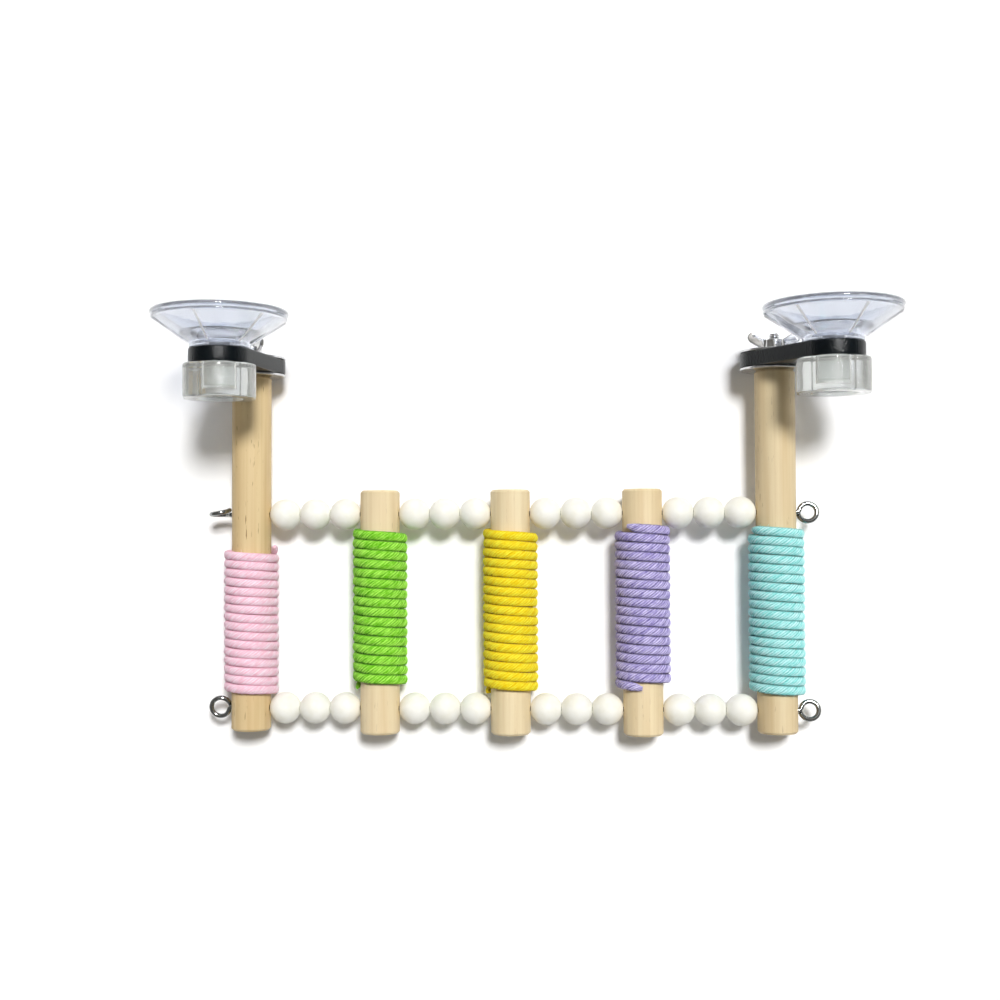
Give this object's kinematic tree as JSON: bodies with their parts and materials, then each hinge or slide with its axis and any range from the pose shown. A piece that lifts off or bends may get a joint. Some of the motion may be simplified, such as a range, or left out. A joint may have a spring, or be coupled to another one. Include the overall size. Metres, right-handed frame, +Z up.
{
  "type": "bird ladder",
  "caption": "Bird ladder of rope-wound wooden dowels spaced by wooden beads on steel wires, held on a smooth wall by suction cups on swinging arms.",
  "frame": {"origin": "under the middle of the part's box, level with its lowest points, the rims of the washers", "axes": "+X along the ladder from the pink dowel to the teal one, +Y along the posts towards the suction cups, +Z up from the surface that the part lies on"},
  "size_m": [0.2714, 0.1573, 0.0698],
  "materials": {
    "pine": "bare sanded pine",
    "bead_white": "satin white paint on wood",
    "rope_pink": "twisted cotton",
    "rope_green": "twisted cotton",
    "rope_yellow": "twisted cotton",
    "rope_purple": "twisted cotton",
    "rope_teal": "twisted cotton",
    "steel": "plated, satin",
    "arm_black": "fine moulded texture",
    "cup_clear": "clear soft PVC with a lilac tint",
    "knob_clear": "clear hard plastic"
  },
  "bodies": {
    "ladder": {"post_left": "pine", "hanger_bolt_left": "steel", "lower_washer_left": "steel", "post_right": "pine", "hanger_bolt_right": "steel", "lower_washer_right": "steel", "rung_green": "pine", "rung_yellow": "pine", "rung_purple": "pine", "wrap_pink": "rope_pink", "wrap_green": "rope_green", "wrap_yellow": "rope_yellow", "wrap_purple": "rope_purple", "wrap_teal": "rope_teal"},
    "arm_left": {"arm_left": "arm_black", "upper_washer_left": "steel"},
    "cup_left": {"cup_left": "cup_clear", "cup_stud_left": "knob_clear"},
    "knob_left": {"knob_left": "knob_clear"},
    "wing_nut_left": {"wing_nut_left": "steel"},
    "arm_right": {"arm_right": "arm_black", "upper_washer_right": "steel"},
    "cup_right": {"cup_right": "cup_clear", "cup_stud_right": "knob_clear"},
    "knob_right": {"knob_right": "knob_clear"},
    "wing_nut_right": {"wing_nut_right": "steel"},
    "wire_upper": {"wire_upper": "steel"},
    "wire_lower": {"wire_lower": "steel"},
    "bead_upper_1": {"bead_upper_1": "bead_white"},
    "bead_upper_2": {"bead_upper_2": "bead_white"},
    "bead_upper_3": {"bead_upper_3": "bead_white"},
    "bead_upper_4": {"bead_upper_4": "bead_white"},
    "bead_upper_5": {"bead_upper_5": "bead_white"},
    "bead_upper_6": {"bead_upper_6": "bead_white"},
    "bead_upper_7": {"bead_upper_7": "bead_white"},
    "bead_upper_8": {"bead_upper_8": "bead_white"},
    "bead_upper_9": {"bead_upper_9": "bead_white"},
    "bead_upper_10": {"bead_upper_10": "bead_white"},
    "bead_upper_11": {"bead_upper_11": "bead_white"},
    "bead_upper_12": {"bead_upper_12": "bead_white"},
    "bead_lower_1": {"bead_lower_1": "bead_white"},
    "bead_lower_2": {"bead_lower_2": "bead_white"},
    "bead_lower_3": {"bead_lower_3": "bead_white"},
    "bead_lower_4": {"bead_lower_4": "bead_white"},
    "bead_lower_5": {"bead_lower_5": "bead_white"},
    "bead_lower_6": {"bead_lower_6": "bead_white"},
    "bead_lower_7": {"bead_lower_7": "bead_white"},
    "bead_lower_8": {"bead_lower_8": "bead_white"},
    "bead_lower_9": {"bead_lower_9": "bead_white"},
    "bead_lower_10": {"bead_lower_10": "bead_white"},
    "bead_lower_11": {"bead_lower_11": "bead_white"},
    "bead_lower_12": {"bead_lower_12": "bead_white"}
  },
  "joints": [
    {"name": "arm_left_swing", "type": "hinge", "parent": "ladder", "child": "arm_left", "pos_m": [-0.10677, 0.05905, 0.013], "axis": [0, 1, 0], "continuous": true},
    {"name": "arm_right_swing", "type": "hinge", "parent": "ladder", "child": "arm_right", "pos_m": [0.09323, 0.05905, 0.013], "axis": [0, 1, 0], "continuous": true},
    {"name": "cup_left_turn", "type": "hinge", "parent": "arm_left", "child": "cup_left", "pos_m": [-0.11068, 0.06495, 0.0448], "axis": [0, 1, 0], "continuous": true},
    {"name": "cup_right_turn", "type": "hinge", "parent": "arm_right", "child": "cup_right", "pos_m": [0.11068, 0.06495, 0.03987], "axis": [0, 1, 0], "continuous": true},
    {"name": "knob_left_turn", "type": "hinge", "parent": "cup_left", "child": "knob_left", "pos_m": [-0.11068, 0.05905, 0.0448], "axis": [0, -1, 0], "range_deg": [0, 1080]},
    {"name": "knob_right_turn", "type": "hinge", "parent": "cup_right", "child": "knob_right", "pos_m": [0.11068, 0.05905, 0.03987], "axis": [0, -1, 0], "range_deg": [0, 1080]},
    {"name": "wing_nut_left_turn", "type": "hinge", "parent": "arm_left", "child": "wing_nut_left", "pos_m": [-0.10677, 0.06575, 0.013], "axis": [0, 1, 0], "range_deg": [0, 720]},
    {"name": "wing_nut_right_turn", "type": "hinge", "parent": "arm_right", "child": "wing_nut_right", "pos_m": [0.09323, 0.06575, 0.013], "axis": [0, 1, 0], "range_deg": [0, 720]},
    {"name": "wire_upper_turn", "type": "hinge", "parent": "ladder", "child": "wire_upper", "pos_m": [-0.00677, 0.00485, 0.013], "axis": [1, 0, 0], "continuous": true},
    {"name": "wire_lower_turn", "type": "hinge", "parent": "ladder", "child": "wire_lower", "pos_m": [-0.00677, -0.06915, 0.013], "axis": [1, 0, 0], "continuous": true},
    {"name": "bead_upper_1_spin", "type": "hinge", "parent": "wire_upper", "child": "bead_upper_1", "pos_m": [-0.0934, 0.00485, 0.013], "axis": [1, 0, 0], "continuous": true},
    {"name": "bead_upper_2_spin", "type": "hinge", "parent": "wire_upper", "child": "bead_upper_2", "pos_m": [-0.08177, 0.00485, 0.013], "axis": [1, 0, 0], "continuous": true},
    {"name": "bead_upper_3_spin", "type": "hinge", "parent": "wire_upper", "child": "bead_upper_3", "pos_m": [-0.07015, 0.00485, 0.013], "axis": [1, 0, 0], "continuous": true},
    {"name": "bead_upper_4_spin", "type": "hinge", "parent": "wire_upper", "child": "bead_upper_4", "pos_m": [-0.0434, 0.00485, 0.013], "axis": [1, 0, 0], "continuous": true},
    {"name": "bead_upper_5_spin", "type": "hinge", "parent": "wire_upper", "child": "bead_upper_5", "pos_m": [-0.03177, 0.00485, 0.013], "axis": [1, 0, 0], "continuous": true},
    {"name": "bead_upper_6_spin", "type": "hinge", "parent": "wire_upper", "child": "bead_upper_6", "pos_m": [-0.02015, 0.00485, 0.013], "axis": [1, 0, 0], "continuous": true},
    {"name": "bead_upper_7_spin", "type": "hinge", "parent": "wire_upper", "child": "bead_upper_7", "pos_m": [0.0066, 0.00485, 0.013], "axis": [1, 0, 0], "continuous": true},
    {"name": "bead_upper_8_spin", "type": "hinge", "parent": "wire_upper", "child": "bead_upper_8", "pos_m": [0.01823, 0.00485, 0.013], "axis": [1, 0, 0], "continuous": true},
    {"name": "bead_upper_9_spin", "type": "hinge", "parent": "wire_upper", "child": "bead_upper_9", "pos_m": [0.02985, 0.00485, 0.013], "axis": [1, 0, 0], "continuous": true},
    {"name": "bead_upper_10_spin", "type": "hinge", "parent": "wire_upper", "child": "bead_upper_10", "pos_m": [0.0566, 0.00485, 0.013], "axis": [1, 0, 0], "continuous": true},
    {"name": "bead_upper_11_spin", "type": "hinge", "parent": "wire_upper", "child": "bead_upper_11", "pos_m": [0.06823, 0.00485, 0.013], "axis": [1, 0, 0], "continuous": true},
    {"name": "bead_upper_12_spin", "type": "hinge", "parent": "wire_upper", "child": "bead_upper_12", "pos_m": [0.07985, 0.00485, 0.013], "axis": [1, 0, 0], "continuous": true},
    {"name": "bead_lower_1_spin", "type": "hinge", "parent": "wire_lower", "child": "bead_lower_1", "pos_m": [-0.0934, -0.06915, 0.013], "axis": [1, 0, 0], "continuous": true},
    {"name": "bead_lower_2_spin", "type": "hinge", "parent": "wire_lower", "child": "bead_lower_2", "pos_m": [-0.08177, -0.06915, 0.013], "axis": [1, 0, 0], "continuous": true},
    {"name": "bead_lower_3_spin", "type": "hinge", "parent": "wire_lower", "child": "bead_lower_3", "pos_m": [-0.07015, -0.06915, 0.013], "axis": [1, 0, 0], "continuous": true},
    {"name": "bead_lower_4_spin", "type": "hinge", "parent": "wire_lower", "child": "bead_lower_4", "pos_m": [-0.0434, -0.06915, 0.013], "axis": [1, 0, 0], "continuous": true},
    {"name": "bead_lower_5_spin", "type": "hinge", "parent": "wire_lower", "child": "bead_lower_5", "pos_m": [-0.03177, -0.06915, 0.013], "axis": [1, 0, 0], "continuous": true},
    {"name": "bead_lower_6_spin", "type": "hinge", "parent": "wire_lower", "child": "bead_lower_6", "pos_m": [-0.02015, -0.06915, 0.013], "axis": [1, 0, 0], "continuous": true},
    {"name": "bead_lower_7_spin", "type": "hinge", "parent": "wire_lower", "child": "bead_lower_7", "pos_m": [0.0066, -0.06915, 0.013], "axis": [1, 0, 0], "continuous": true},
    {"name": "bead_lower_8_spin", "type": "hinge", "parent": "wire_lower", "child": "bead_lower_8", "pos_m": [0.01823, -0.06915, 0.013], "axis": [1, 0, 0], "continuous": true},
    {"name": "bead_lower_9_spin", "type": "hinge", "parent": "wire_lower", "child": "bead_lower_9", "pos_m": [0.02985, -0.06915, 0.013], "axis": [1, 0, 0], "continuous": true},
    {"name": "bead_lower_10_spin", "type": "hinge", "parent": "wire_lower", "child": "bead_lower_10", "pos_m": [0.0566, -0.06915, 0.013], "axis": [1, 0, 0], "continuous": true},
    {"name": "bead_lower_11_spin", "type": "hinge", "parent": "wire_lower", "child": "bead_lower_11", "pos_m": [0.06823, -0.06915, 0.013], "axis": [1, 0, 0], "continuous": true},
    {"name": "bead_lower_12_spin", "type": "hinge", "parent": "wire_lower", "child": "bead_lower_12", "pos_m": [0.07985, -0.06915, 0.013], "axis": [1, 0, 0], "continuous": true}
  ]
}
